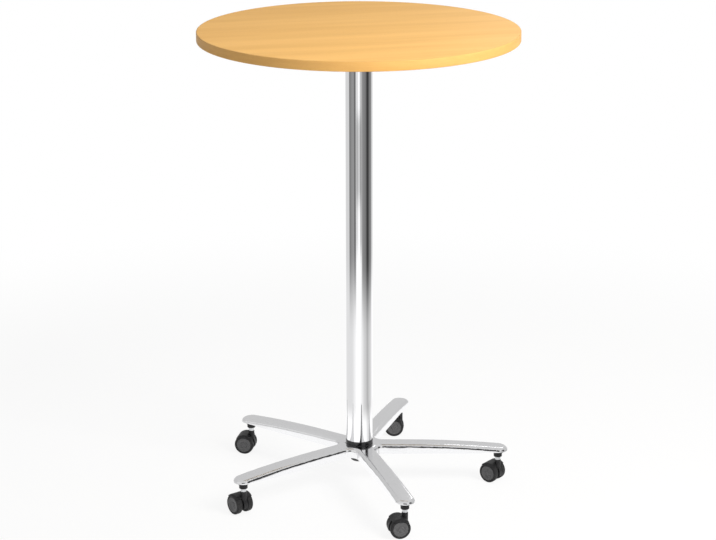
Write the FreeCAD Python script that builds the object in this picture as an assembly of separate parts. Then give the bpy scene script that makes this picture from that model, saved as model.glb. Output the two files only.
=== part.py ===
import FreeCAD, Part
import math
import os

# Standing meeting table: a round laminated top on a chromed tube, held by a central tie rod to a
# five-armed cast base that rolls on twin-wheel swivel castors.
#
# Millimetres. Origin on the floor, on the column axis. +Z up.
# Arm 1 points along +X and the arms are numbered anticlockwise, seen from above.

# ---------------------------------------------------------------- driving dimensions
# Table top
TABLE_HEIGHT = 1050.0
TOP_DIAMETER = 700.0
TOP_THICKNESS = 20.6
LAMINATE_THICKNESS = 0.8
EDGE_BAND_THICKNESS = 2.0
EDGE_BAND_ROUNDING = 1.5

# Column tube and the ring at its foot
TUBE_DIAMETER = 60.0
TUBE_WALL = 1.5
TUBE_FIT = 0.15
COLLAR_HEIGHT = 12.0
COLLAR_OVERHANG = 0.6
COLLAR_CHAMFER = 0.8
COLLAR_CLEARANCE = 0.4

# Tie rod and its nuts and washers
ROD_DIAMETER = 12.0
ROD_END_CHAMFER = 1.0
ROD_PROTRUSION = 2.0
ROD_HOLE_CLEARANCE = 0.5
NUT_ACROSS_FLATS = 19.0
NUT_HEIGHT = 10.0
WASHER_DIAMETER = 28.0
WASHER_THICKNESS = 2.5
THREAD_FIT = 0.05

# Spider under the top
SPIDER_ARMS = 4
SPIDER_REACH = 210.0
SPIDER_HUB_DIAMETER = 92.0
SPIDER_ARM_THICKNESS = 6.0
SPIDER_AXIS_HALF_WIDTH = 19.0
SPIDER_TIP_RADIUS = 12.0
SPIDER_TAPER_RUN = 55.0
SPIDER_WEB = 5.0
SPIDER_SPIGOT_HEIGHT = 24.0
SPIDER_FIRST_ARM_ANGLE = 45.0
NUT_POCKET_CLEARANCE = 1.0

# Wood screws that hold the spider
SCREW_DIAMETER = 4.5
SCREW_LENGTH = 20.0
SCREW_POINT_LENGTH = 4.0
SCREW_HEAD_DIAMETER = 9.5
SCREW_HEAD_HEIGHT = 3.2
SCREW_HEAD_ROUNDING = 1.4
SCREW_RECESS_SPAN = 4.8
SCREW_RECESS_WIDTH = 1.1
SCREW_RECESS_DEPTH = 1.6
SCREW_HOLE_CLEARANCE = 0.4
PILOT_FIT = 0.05
SCREW_RADII = (128.0, 196.0)

# Five-armed cast base
BASE_ARMS = 5
STEM_CIRCLE_RADIUS = 316.5
ARM_AXIS_HALF_WIDTH = 20.5
ARM_TIP_RADIUS = 22.0
ARM_FLAT_REACH = 100.0
ARM_TOP_RADIUS = 2400.0
ARM_ROOT_FILLET = 9.0
ARM_TIP_FILLET = 6.5
ARM_FILLET_SHARE = 0.95
ARM_CROTCH_RADIUS = 20.0
ARM_ROOT_DEPTH = 22.0
ARM_MID_DEPTH = 11.0
ARM_SKIRT_REACH = 276.0
ARM_SKIRT_END_RUN = 9.0
ARM_TIP_DEPTH = 10.0
ARM_WALL = 3.5
ARM_RIB = 3.0
ARM_RIB_INSET = 2.0
ARM_CROSS_RIBS = 4
SOCKET_BOSS_DIAMETER = 16.0
SOCKET_BOSS_LENGTH = 21.0
SOCKET_ROOF = 4.5
SOCKET_PAD_DIAMETER = 27.0
SOCKET_PAD_DROP = 3.0
HUB_LEDGE = 2.0
HUB_TOP_STEP = 2.6
HUB_BODY_DEPTH = 19.4
HUB_EDGE_FILLET = 1.0
HUB_BOSS_WALL = 5.0
HUB_BOSS_HEIGHT = 11.5
HUB_WEB = 12.0
HUB_POCKET_RADIUS = 17.0
HUB_SPIGOT_ENGAGEMENT = 22.0
HUB_SPIGOT_WALL = 5.0

# Cap under the hub
CAP_LEDGE = 3.0
CAP_HEIGHT = 8.0
CAP_FLOOR = 2.5
CAP_ROUNDING = 2.0
CAP_PLUG_HEIGHT = 5.0
CAP_PLUG_WALL = 2.5
CAP_FIT = 0.15

# Castors
WHEEL_RADIUS = 22.5
WHEEL_WIDTH = 13.0
WHEEL_GAP = 15.0
TYRE_THICKNESS = 5.5
TYRE_ROUNDING = 2.6
TYRE_FIT = 0.02
WHEEL_RIM_WIDTH = 2.6
WHEEL_DISH_DEPTH = 1.4
WHEEL_BOSS_RADIUS = 5.5
WHEEL_POCKET_DEPTH = 7.0
WHEEL_FACE_WALL = 3.0
AXLE_DIAMETER = 6.0
AXLE_FIT = 0.05
AXLE_END_CHAMFER = 0.6
TRAIL = 14.0
HOOD_CLEARANCE = 0.6
HOOD_SIDE_CLEARANCE = 0.5
HOOD_WALL = 1.4
HOOD_SIDE_WALL = 1.2
HOOD_CORNER_RADIUS = 5.0
HOOD_SKIRT_ABOVE_AXLE = 17.0
HOOD_WEB_THICKNESS = 10.0
HOOD_WEB_BELOW_AXLE = 7.0
HOOD_SIDE_PLAY = 0.5
HOUSING_DIAMETER = 14.0
HOUSING_RISE = 7.2
HOUSING_EDGE_CHAMFER = 0.8
HOUSING_FLOOR_ABOVE_AXLE = 1.4
HOUSING_FLOOR_WALL = 2.4
PIN_DIAMETER = 8.0
PIN_FIT = 0.05
PIN_FLOOR_GAP = 0.3
PIN_CHAMFER = 0.6
NECK_DIAMETER = 12.5
NECK_HEIGHT = 7.6
NECK_PLAY = 0.3
SLEEVE_DIAMETER = 19.0
SLEEVE_FLOOR = 5.2
SLEEVE_RIM_DIAMETER = 25.5
SLEEVE_RIM_HEIGHT = 2.8
SLEEVE_FIT = 0.1
SLEEVE_TOP_PLAY = 0.2
SLEEVE_CLEARANCE = 2.0
STEM_DIAMETER = 10.0
STEM_END_GAP = 3.0
STEM_CHAMFER = 1.0
# Direction in which each castor trails from its stem, in degrees anticlockwise from +X.
CASTOR_HEADINGS = (142.0, 180.0, 168.0, 128.0, 194.0)

# ---------------------------------------------------------------- derived sizes and levels
UNDERSIDE_Z = TABLE_HEIGHT - TOP_THICKNESS
TUBE_RADIUS = TUBE_DIAMETER / 2.0
TUBE_BORE_RADIUS = TUBE_RADIUS - TUBE_WALL
SPIGOT_RADIUS = TUBE_BORE_RADIUS - TUBE_FIT
ROD_RADIUS = ROD_DIAMETER / 2.0
ROD_HOLE_RADIUS = ROD_RADIUS + ROD_HOLE_CLEARANCE
BOARD_RADIUS = TOP_DIAMETER / 2.0 - EDGE_BAND_THICKNESS

AXLE_Z = WHEEL_RADIUS
AXLE_RADIUS = AXLE_DIAMETER / 2.0
TRACK = WHEEL_GAP + 2.0 * WHEEL_WIDTH
HOOD_INNER_RADIUS = WHEEL_RADIUS + HOOD_CLEARANCE
HOOD_OUTER_RADIUS = HOOD_INNER_RADIUS + HOOD_WALL
HOOD_INNER_HALF = TRACK / 2.0 + HOOD_SIDE_CLEARANCE
HOOD_OUTER_HALF = HOOD_INNER_HALF + HOOD_SIDE_WALL
HOUSING_TOP_Z = AXLE_Z + HOOD_OUTER_RADIUS + HOUSING_RISE
HOUSING_LOW_Z = AXLE_Z + HOUSING_FLOOR_ABOVE_AXLE
PIN_HOLE_FLOOR_Z = HOUSING_LOW_Z + HOUSING_FLOOR_WALL
PIN_RADIUS = PIN_DIAMETER / 2.0
NECK_BOTTOM_Z = HOUSING_TOP_Z + NECK_PLAY
SLEEVE_BOTTOM_Z = NECK_BOTTOM_Z + NECK_HEIGHT
SOCKET_FACE_Z = SLEEVE_BOTTOM_Z + SLEEVE_FLOOR
STEM_RADIUS = STEM_DIAMETER / 2.0

ARM_TIP_TOP_Z = SOCKET_FACE_Z + SOCKET_BOSS_LENGTH
SOCKET_ROOF_Z = ARM_TIP_TOP_Z - SOCKET_ROOF
SOCKET_PAD_Z = ARM_TIP_TOP_Z - ARM_TIP_DEPTH - SOCKET_PAD_DROP
# The rounding stays inside the thin wall of the tip.
ARM_ROOT_ROUNDING = min(ARM_ROOT_FILLET, ARM_FILLET_SHARE * ARM_TIP_DEPTH)
ARM_TIP_ROUNDING = min(ARM_TIP_FILLET, ARM_FILLET_SHARE * ARM_TIP_DEPTH)
ARM_CURVED_RUN = STEM_CIRCLE_RADIUS - ARM_FLAT_REACH
ARM_DROP = ARM_TOP_RADIUS - math.sqrt(ARM_TOP_RADIUS ** 2 - ARM_CURVED_RUN ** 2)
ARM_ROOT_TOP_Z = ARM_TIP_TOP_Z + ARM_DROP
HUB_RADIUS = TUBE_RADIUS + HUB_LEDGE
HUB_TOP_Z = ARM_ROOT_TOP_Z - HUB_TOP_STEP
HUB_BODY_LOW_Z = HUB_TOP_Z - HUB_BODY_DEPTH
HUB_BOTTOM_Z = HUB_BODY_LOW_Z - HUB_BOSS_HEIGHT
HUB_BOSS_RADIUS = HUB_POCKET_RADIUS + HUB_BOSS_WALL
CAP_RADIUS = HUB_POCKET_RADIUS + CAP_LEDGE
WEB_BOTTOM_Z = HUB_TOP_Z - HUB_WEB
COLLAR_TOP_Z = HUB_TOP_Z + COLLAR_HEIGHT

NUT_POCKET_DEPTH = WASHER_THICKNESS + NUT_HEIGHT + ROD_PROTRUSION + NUT_POCKET_CLEARANCE
SPIDER_HUB_DEPTH = NUT_POCKET_DEPTH + SPIDER_WEB
TUBE_TOP_Z = UNDERSIDE_Z - SPIDER_HUB_DEPTH
SPIDER_ARM_BOTTOM_Z = UNDERSIDE_Z - SPIDER_ARM_THICKNESS
SPIDER_STEP = 360.0 / SPIDER_ARMS
ARM_STEP = 360.0 / BASE_ARMS

UPPER_WASHER_Z = UNDERSIDE_Z - NUT_POCKET_DEPTH
UPPER_NUT_Z = UPPER_WASHER_Z + WASHER_THICKNESS
LOWER_WASHER_Z = WEB_BOTTOM_Z - WASHER_THICKNESS
LOWER_NUT_Z = LOWER_WASHER_Z - NUT_HEIGHT

# Half the width of the prisms that arms are cut from, wider than any arm.
ARM_PRISM_HALF_WIDTH = 2.0 * max(ARM_TIP_RADIUS, ARM_AXIS_HALF_WIDTH)

# Cutting tools run past the faces they cut by this much.
OVERSHOOT = 1.0


# ---------------------------------------------------------------- helpers
def vec(x, y, z):
    return FreeCAD.Vector(x, y, z)


def turned(shape, degrees):
    """A copy of the shape, turned about the column axis."""
    copy = shape.copy()
    copy.rotate(vec(0, 0, 0), vec(0, 0, 1), degrees)
    return copy


def shifted(shape, x, y, z):
    """A copy of the shape, moved without turning."""
    copy = shape.copy()
    copy.translate(vec(x, y, z))
    return copy


def disc(radius, z_low, z_high, x=0.0, y=0.0):
    """An upright cylinder between two levels."""
    return Part.makeCylinder(radius, z_high - z_low, vec(x, y, z_low))


def ring(outer, inner, z_low, z_high):
    """An upright tube between two levels."""
    return disc(outer, z_low, z_high).cut(disc(inner, z_low - OVERSHOOT, z_high + OVERSHOOT))


def block(x_low, x_high, y_half, z_low, z_high):
    """A box centred on the XZ plane."""
    return Part.makeBox(x_high - x_low, 2.0 * y_half, z_high - z_low, vec(x_low, -y_half, z_low))


def turned_profile(points):
    """A solid of revolution about Z from (radius, z) points in order."""
    corners = [vec(radius, 0, z) for radius, z in points]
    face = Part.Face(Part.makePolygon(corners + corners[:1]))
    return face.revolve(vec(0, 0, 0), vec(0, 0, 1), 360.0)


def onto_axle(shape):
    """Turn a shape built along Z so that its axis lies along Y at axle height."""
    copy = shape.copy()
    copy.rotate(vec(0, 0, 0), vec(1, 0, 0), -90.0)
    return shifted(copy, TRAIL, 0, AXLE_Z)


def edges_at_level(shape, z, tolerance=1e-4):
    """The edges of a shape that lie flat at one level."""
    found = []
    for edge in shape.Edges:
        box = edge.BoundBox
        if abs(box.ZMin - z) < tolerance and abs(box.ZMax - z) < tolerance:
            found.append(edge)
    return found


def hexagon(across_flats, z_low, z_high):
    """An upright hexagonal prism."""
    corner_radius = across_flats / math.sqrt(3.0)
    corners = []
    for index in range(6):
        angle = math.radians(60.0 * index)
        corners.append(vec(corner_radius * math.cos(angle), corner_radius * math.sin(angle), z_low))
    face = Part.Face(Part.makePolygon(corners + corners[:1]))
    return face.extrude(vec(0, 0, z_high - z_low))


def arm_plan(axis_half_width, tip_radius, reach, z_low, z_high):
    """An upright prism over a tapered arm outline: straight sides, tangent to a round tip."""
    sine = (tip_radius - axis_half_width) / reach
    cosine = math.sqrt(1.0 - sine * sine)
    root_x = -axis_half_width * sine
    root_y = axis_half_width * cosine
    tip_x = reach - tip_radius * sine
    tip_y = tip_radius * cosine
    left = Part.makeLine(vec(root_x, root_y, z_low), vec(tip_x, tip_y, z_low))
    end = Part.Arc(vec(tip_x, tip_y, z_low), vec(reach + tip_radius, 0, z_low), vec(tip_x, -tip_y, z_low))
    right = Part.makeLine(vec(tip_x, -tip_y, z_low), vec(root_x, -root_y, z_low))
    root = Part.makeLine(vec(root_x, -root_y, z_low), vec(root_x, root_y, z_low))
    face = Part.Face(Part.Wire([left, end.toShape(), right, root]))
    return face.extrude(vec(0, 0, z_high - z_low))


def export(name, shape):
    """Write one node to parts/."""
    shape.exportStep("parts/" + name + ".step")


# ---------------------------------------------------------------- table top
def screw_places():
    """The (x, y) of every wood screw under the top."""
    places = []
    for index in range(SPIDER_ARMS):
        angle = math.radians(SPIDER_FIRST_ARM_ANGLE + index * SPIDER_STEP)
        for radius in SCREW_RADII:
            places.append((radius * math.cos(angle), radius * math.sin(angle)))
    return places


def pilot_holes():
    """The drillings that the wood screws cut into the board."""
    radius = SCREW_DIAMETER / 2.0 + PILOT_FIT
    top = SPIDER_ARM_BOTTOM_Z + SCREW_LENGTH + PILOT_FIT
    holes = [disc(radius, UNDERSIDE_Z - OVERSHOOT, top, x, y) for x, y in screw_places()]
    return Part.makeCompound(holes)


def tabletop_core():
    low = UNDERSIDE_Z + LAMINATE_THICKNESS
    high = TABLE_HEIGHT - LAMINATE_THICKNESS
    return disc(BOARD_RADIUS, low, high).cut(pilot_holes())


def top_laminate():
    return disc(BOARD_RADIUS, TABLE_HEIGHT - LAMINATE_THICKNESS, TABLE_HEIGHT)


def underside_laminate():
    sheet = disc(BOARD_RADIUS, UNDERSIDE_Z, UNDERSIDE_Z + LAMINATE_THICKNESS)
    return sheet.cut(pilot_holes())


def edge_band():
    outer = disc(TOP_DIAMETER / 2.0, UNDERSIDE_Z, TABLE_HEIGHT)
    rim = edges_at_level(outer, UNDERSIDE_Z) + edges_at_level(outer, TABLE_HEIGHT)
    outer = outer.makeFillet(EDGE_BAND_ROUNDING, rim)
    return outer.cut(disc(BOARD_RADIUS, UNDERSIDE_Z - OVERSHOOT, TABLE_HEIGHT + OVERSHOOT))


# ---------------------------------------------------------------- spider under the top
def spider_arm():
    """One flat arm that thickens into the hub."""
    hub_radius = SPIDER_HUB_DIAMETER / 2.0
    hub_bottom = TUBE_TOP_Z
    plan = arm_plan(SPIDER_AXIS_HALF_WIDTH, SPIDER_TIP_RADIUS, SPIDER_REACH, hub_bottom, UNDERSIDE_Z)
    end = SPIDER_REACH + SPIDER_TIP_RADIUS + OVERSHOOT
    corners = [
        vec(-SPIDER_AXIS_HALF_WIDTH, 0, hub_bottom),
        vec(hub_radius, 0, hub_bottom),
        vec(hub_radius + SPIDER_TAPER_RUN, 0, SPIDER_ARM_BOTTOM_Z),
        vec(end, 0, SPIDER_ARM_BOTTOM_Z),
        vec(end, 0, UNDERSIDE_Z),
        vec(-SPIDER_AXIS_HALF_WIDTH, 0, UNDERSIDE_Z),
    ]
    width = 2.0 * max(SPIDER_AXIS_HALF_WIDTH, SPIDER_TIP_RADIUS)
    side = Part.Face(Part.makePolygon(corners + corners[:1])).extrude(vec(0, 2.0 * width, 0))
    return plan.common(shifted(side, 0, -width, 0))


def top_spider():
    body = disc(SPIDER_HUB_DIAMETER / 2.0, TUBE_TOP_Z, UNDERSIDE_Z)
    for index in range(SPIDER_ARMS):
        body = body.fuse(turned(spider_arm(), SPIDER_FIRST_ARM_ANGLE + index * SPIDER_STEP))
    body = body.fuse(disc(SPIGOT_RADIUS, TUBE_TOP_Z - SPIDER_SPIGOT_HEIGHT, TUBE_TOP_Z))
    pocket_radius = WASHER_DIAMETER / 2.0 + NUT_POCKET_CLEARANCE
    body = body.cut(disc(pocket_radius, UNDERSIDE_Z - NUT_POCKET_DEPTH, UNDERSIDE_Z + OVERSHOOT))
    spigot_bottom = TUBE_TOP_Z - SPIDER_SPIGOT_HEIGHT
    body = body.cut(disc(ROD_HOLE_RADIUS, spigot_bottom - OVERSHOOT, UNDERSIDE_Z))
    hole_radius = SCREW_DIAMETER / 2.0 + SCREW_HOLE_CLEARANCE
    for x, y in screw_places():
        body = body.cut(disc(hole_radius, SPIDER_ARM_BOTTOM_Z - OVERSHOOT, UNDERSIDE_Z + OVERSHOOT, x, y))
    return body.removeSplitter()


def wood_screw():
    """One pan-head screw with its head under the spider arm, on the Z axis."""
    shank_radius = SCREW_DIAMETER / 2.0
    seat = SPIDER_ARM_BOTTOM_Z
    head = disc(SCREW_HEAD_DIAMETER / 2.0, seat - SCREW_HEAD_HEIGHT, seat)
    head = head.makeFillet(SCREW_HEAD_ROUNDING, edges_at_level(head, seat - SCREW_HEAD_HEIGHT))
    shank = disc(shank_radius, seat, seat + SCREW_LENGTH - SCREW_POINT_LENGTH)
    point_base = vec(0, 0, seat + SCREW_LENGTH - SCREW_POINT_LENGTH)
    point = Part.makeCone(shank_radius, 0.0, SCREW_POINT_LENGTH, point_base)
    recess_low = seat - SCREW_HEAD_HEIGHT - OVERSHOOT
    recess_high = seat - SCREW_HEAD_HEIGHT + SCREW_RECESS_DEPTH
    half_span = SCREW_RECESS_SPAN / 2.0
    slot = block(-half_span, half_span, SCREW_RECESS_WIDTH / 2.0, recess_low, recess_high)
    screw = head.fuse([shank, point]).cut(slot.fuse(turned(slot, 90.0)))
    return screw.removeSplitter()


def spider_screws():
    screw = wood_screw()
    return Part.makeCompound([shifted(screw, x, y, 0) for x, y in screw_places()])


# ---------------------------------------------------------------- column and tie rod
def column_tube():
    return ring(TUBE_RADIUS, TUBE_BORE_RADIUS, COLLAR_TOP_Z, TUBE_TOP_Z)


def foot_collar():
    """The plastic ring between the tube and the cast hub."""
    body = disc(TUBE_RADIUS + COLLAR_OVERHANG, HUB_TOP_Z, COLLAR_TOP_Z)
    rim = edges_at_level(body, HUB_TOP_Z) + edges_at_level(body, COLLAR_TOP_Z)
    body = body.makeChamfer(COLLAR_CHAMFER, rim)
    return body.cut(disc(TUBE_BORE_RADIUS, HUB_TOP_Z - OVERSHOOT, COLLAR_TOP_Z + OVERSHOOT))


def nut(z_low):
    """A hexagon nut with its top and bottom corners turned off."""
    z_high = z_low + NUT_HEIGHT
    corner_radius = NUT_ACROSS_FLATS / math.sqrt(3.0)
    flat_radius = NUT_ACROSS_FLATS / 2.0
    bevel = (corner_radius - flat_radius) / math.sqrt(3.0)
    envelope = turned_profile([
        (0.0, z_low),
        (flat_radius, z_low),
        (corner_radius, z_low + bevel),
        (corner_radius, z_high - bevel),
        (flat_radius, z_high),
        (0.0, z_high),
    ])
    body = hexagon(NUT_ACROSS_FLATS, z_low, z_high).common(envelope)
    return body.cut(disc(ROD_RADIUS + THREAD_FIT, z_low - OVERSHOOT, z_high + OVERSHOOT))


def washer(z_low):
    return ring(WASHER_DIAMETER / 2.0, ROD_HOLE_RADIUS, z_low, z_low + WASHER_THICKNESS)


def tie_rod():
    low = LOWER_NUT_Z - ROD_PROTRUSION
    high = UPPER_NUT_Z + NUT_HEIGHT + ROD_PROTRUSION
    tip_radius = ROD_RADIUS - ROD_END_CHAMFER
    return turned_profile([
        (0.0, low),
        (tip_radius, low),
        (ROD_RADIUS, low + ROD_END_CHAMFER),
        (ROD_RADIUS, high - ROD_END_CHAMFER),
        (tip_radius, high),
        (0.0, high),
    ])


# ---------------------------------------------------------------- cast base
def arm_side(drop, z_low_root, z_low_mid):
    """A wide prism over an arm's side view.

    The upper edge is level out to ARM_FLAT_REACH and then bends down along a large radius. It lies
    the given drop below the arm's upper face. The lower edge runs straight from the hub to the end
    of the skirt and then steps up to the thin tip.
    """
    end_x = STEM_CIRCLE_RADIUS + ARM_TIP_RADIUS + OVERSHOOT
    centre_z = ARM_ROOT_TOP_Z - ARM_TOP_RADIUS
    radius = ARM_TOP_RADIUS - drop
    run = end_x - ARM_FLAT_REACH
    end_z = centre_z + math.sqrt(radius ** 2 - run ** 2)
    middle_z = centre_z + math.sqrt(radius ** 2 - (run / 2.0) ** 2)
    top_z = ARM_ROOT_TOP_Z - drop
    tip_low_z = ARM_TIP_TOP_Z - ARM_TIP_DEPTH
    start = vec(0, 0, top_z)
    bend = vec(ARM_FLAT_REACH, 0, top_z)
    arc_middle = vec(ARM_FLAT_REACH + run / 2.0, 0, middle_z)
    arc_end = vec(end_x, 0, end_z)
    corners = [
        arc_end,
        vec(end_x, 0, tip_low_z),
        vec(ARM_SKIRT_REACH + ARM_SKIRT_END_RUN, 0, tip_low_z),
        vec(ARM_SKIRT_REACH, 0, z_low_mid),
        vec(0, 0, z_low_root),
        start,
    ]
    upper = [Part.makeLine(start, bend), Part.Arc(bend, arc_middle, arc_end).toShape()]
    lower = [Part.makeLine(first, second) for first, second in zip(corners, corners[1:])]
    side = Part.Face(Part.Wire(upper + lower)).extrude(vec(0, 2.0 * ARM_PRISM_HALF_WIDTH, 0))
    return shifted(side, 0, -ARM_PRISM_HALF_WIDTH, 0)


def rounded_arm(root_low, mid_low):
    """The solid arm. The rounding of its upper edges shrinks from the hub to the tip."""
    plan_low = min(root_low, mid_low) - OVERSHOOT
    plan = arm_plan(ARM_AXIS_HALF_WIDTH, ARM_TIP_RADIUS, STEM_CIRCLE_RADIUS, plan_low,
                    ARM_ROOT_TOP_Z + OVERSHOOT)
    body = plan.common(arm_side(0.0, root_low, mid_low))
    reach = STEM_CIRCLE_RADIUS + 2.0 * ARM_TIP_RADIUS
    left_side = Part.makeBox(2.0 * reach, ARM_PRISM_HALF_WIDTH, 2.0 * ARM_ROOT_TOP_Z, vec(-reach, 0, 0))
    left = body.common(left_side)
    first = [edge for edge in edges_at_level(left, ARM_ROOT_TOP_Z)
             if edge.BoundBox.XLength > ARM_FLAT_REACH / 2.0 and edge.BoundBox.YMin > OVERSHOOT]
    left = left.makeFillet(ARM_ROOT_ROUNDING, ARM_TIP_ROUNDING, first)
    right = left.mirror(vec(0, 0, 0), vec(0, 1, 0))
    return left.fuse(right).removeSplitter()


def arm_shell():
    """One arm, hollow from below, with ribs."""
    root_low = ARM_ROOT_TOP_Z - ARM_ROOT_DEPTH
    mid_low = ARM_TIP_TOP_Z - ARM_MID_DEPTH
    outer = rounded_arm(root_low, mid_low)
    hollow_plan = arm_plan(ARM_AXIS_HALF_WIDTH - ARM_WALL, ARM_TIP_RADIUS - ARM_WALL,
                           STEM_CIRCLE_RADIUS, root_low - ARM_ROOT_DEPTH, ARM_ROOT_TOP_Z)
    below = ARM_ROOT_DEPTH
    hollow = hollow_plan.common(arm_side(2.0 * ARM_WALL, root_low - below, mid_low - below))
    hollow = hollow.common(block(HUB_RADIUS + ARM_WALL, ARM_SKIRT_REACH - ARM_WALL,
                                 ARM_PRISM_HALF_WIDTH, root_low - below, ARM_ROOT_TOP_Z))
    return outer.cut(hollow).fuse(arm_ribs(root_low, mid_low, outer)).removeSplitter()


def arm_crotch():
    """The web between arm 1 and arm 2, hollowed to an arc and rounded over as the arms are."""
    half_step = math.radians(ARM_STEP / 2.0)
    flare = (ARM_TIP_RADIUS - ARM_AXIS_HALF_WIDTH) / STEM_CIRCLE_RADIUS
    flank = ARM_AXIS_HALF_WIDTH + flare * HUB_RADIUS
    distance = (flank + ARM_CROTCH_RADIUS) / math.sin(half_step)
    along = distance * math.cos(half_step)
    y = distance * math.sin(half_step)
    low = ARM_ROOT_TOP_Z - ARM_ROOT_DEPTH
    cosine = math.cos(2.0 * half_step)
    sine = math.sin(2.0 * half_step)
    corners = [
        vec(0, 0, low),
        vec(along, 0, low),
        vec(along, flank, low),
        vec(along * cosine + flank * sine, along * sine - flank * cosine, low),
        vec(along * cosine, along * sine, low),
    ]
    plan = Part.Face(Part.makePolygon(corners + corners[:1]))
    web = plan.extrude(vec(0, 0, ARM_ROOT_TOP_Z - low))
    fillet = ARM_ROOT_ROUNDING + (ARM_TIP_ROUNDING - ARM_ROOT_ROUNDING) * along / STEM_CIRCLE_RADIUS
    hollow = disc(ARM_CROTCH_RADIUS, low - OVERSHOOT, ARM_ROOT_TOP_Z, along, y)
    lip = disc(ARM_CROTCH_RADIUS + fillet, ARM_ROOT_TOP_Z - fillet, ARM_ROOT_TOP_Z, along, y)
    rounding = Part.makeTorus(ARM_CROTCH_RADIUS + fillet, fillet, vec(along, y, ARM_ROOT_TOP_Z - fillet))
    return web.cut(hollow).cut(lip.cut(rounding))


def arm_ribs(root_low, mid_low, outer):
    """A lengthwise rib and cross ribs inside an arm, short of its lower edge."""
    top = ARM_ROOT_TOP_Z - OVERSHOOT
    low = min(root_low, mid_low) - OVERSHOOT
    ribs = block(HUB_RADIUS, ARM_SKIRT_REACH, ARM_RIB / 2.0, low, top)
    pitch = (ARM_SKIRT_REACH - HUB_RADIUS) / (ARM_CROSS_RIBS + 1)
    for index in range(1, ARM_CROSS_RIBS + 1):
        x = HUB_RADIUS + index * pitch
        ribs = ribs.fuse(block(x - ARM_RIB / 2.0, x + ARM_RIB / 2.0, ARM_TIP_RADIUS, low, top))
    envelope = arm_side(ARM_WALL / 2.0, root_low + ARM_RIB_INSET, mid_low + ARM_RIB_INSET)
    inner_plan = arm_plan(ARM_AXIS_HALF_WIDTH - ARM_WALL / 2.0, ARM_TIP_RADIUS - ARM_WALL / 2.0,
                          STEM_CIRCLE_RADIUS, low, top + OVERSHOOT)
    return ribs.common(envelope).common(inner_plan).common(outer)


def base_star():
    """The one-piece casting: hub, spigot, five arms and their castor sockets."""
    hub = disc(HUB_RADIUS, HUB_BODY_LOW_Z, HUB_TOP_Z)
    rim = edges_at_level(hub, HUB_BODY_LOW_Z) + edges_at_level(hub, HUB_TOP_Z)
    hub = hub.makeFillet(HUB_EDGE_FILLET, rim)
    hub = hub.fuse(disc(HUB_BOSS_RADIUS, HUB_BOTTOM_Z, HUB_TOP_Z - HUB_EDGE_FILLET))
    arm = arm_shell()
    boss_roof = ARM_TIP_TOP_Z - ARM_TIP_DEPTH / 2.0
    boss = disc(SOCKET_BOSS_DIAMETER / 2.0, SOCKET_FACE_Z, boss_roof, STEM_CIRCLE_RADIUS)
    pad = disc(SOCKET_PAD_DIAMETER / 2.0, SOCKET_PAD_Z, boss_roof, STEM_CIRCLE_RADIUS)
    relief_radius = SLEEVE_RIM_DIAMETER / 2.0 + SLEEVE_CLEARANCE
    relief_low = min(SLEEVE_BOTTOM_Z, ARM_ROOT_TOP_Z - ARM_ROOT_DEPTH) - OVERSHOOT
    arm = arm.cut(disc(relief_radius, relief_low, SOCKET_PAD_Z, STEM_CIRCLE_RADIUS)).fuse([boss, pad])
    arm = arm.cut(disc(HUB_BOSS_RADIUS, HUB_BOTTOM_Z, WEB_BOTTOM_Z))
    seat_radius = TUBE_RADIUS + COLLAR_OVERHANG + COLLAR_CLEARANCE
    seat_height = HUB_TOP_STEP + OVERSHOOT
    seat = Part.makeCone(seat_radius, seat_radius + seat_height, seat_height, vec(0, 0, HUB_TOP_Z))
    arm = arm.fuse(arm_crotch()).cut(seat)
    body = hub.fuse([turned(arm, index * ARM_STEP) for index in range(BASE_ARMS)])
    spigot_top = COLLAR_TOP_Z + HUB_SPIGOT_ENGAGEMENT
    body = body.fuse(disc(SPIGOT_RADIUS, HUB_TOP_Z - HUB_EDGE_FILLET, spigot_top))
    body = body.cut(disc(SPIGOT_RADIUS - HUB_SPIGOT_WALL, HUB_TOP_Z, spigot_top + OVERSHOOT))
    body = body.cut(disc(HUB_POCKET_RADIUS, HUB_BOTTOM_Z - OVERSHOOT, WEB_BOTTOM_Z))
    body = body.cut(disc(ROD_HOLE_RADIUS, WEB_BOTTOM_Z - OVERSHOOT, HUB_TOP_Z + OVERSHOOT))
    socket_low = SOCKET_FACE_Z - OVERSHOOT
    socket = disc(STEM_RADIUS + THREAD_FIT, socket_low, SOCKET_ROOF_Z, STEM_CIRCLE_RADIUS)
    for index in range(BASE_ARMS):
        body = body.cut(turned(socket, index * ARM_STEP))
    return body.removeSplitter()


def hub_cap():
    """The plastic cap that closes the pocket under the hub."""
    low = HUB_BOTTOM_Z - CAP_HEIGHT
    plug_radius = HUB_POCKET_RADIUS - CAP_FIT
    body = disc(CAP_RADIUS, low, HUB_BOTTOM_Z)
    body = body.makeFillet(CAP_ROUNDING, edges_at_level(body, low))
    body = body.fuse(disc(plug_radius, HUB_BOTTOM_Z, HUB_BOTTOM_Z + CAP_PLUG_HEIGHT))
    hollow = disc(plug_radius - CAP_PLUG_WALL, low + CAP_FLOOR, HUB_BOTTOM_Z + CAP_PLUG_HEIGHT + OVERSHOOT)
    return body.cut(hollow)


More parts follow.
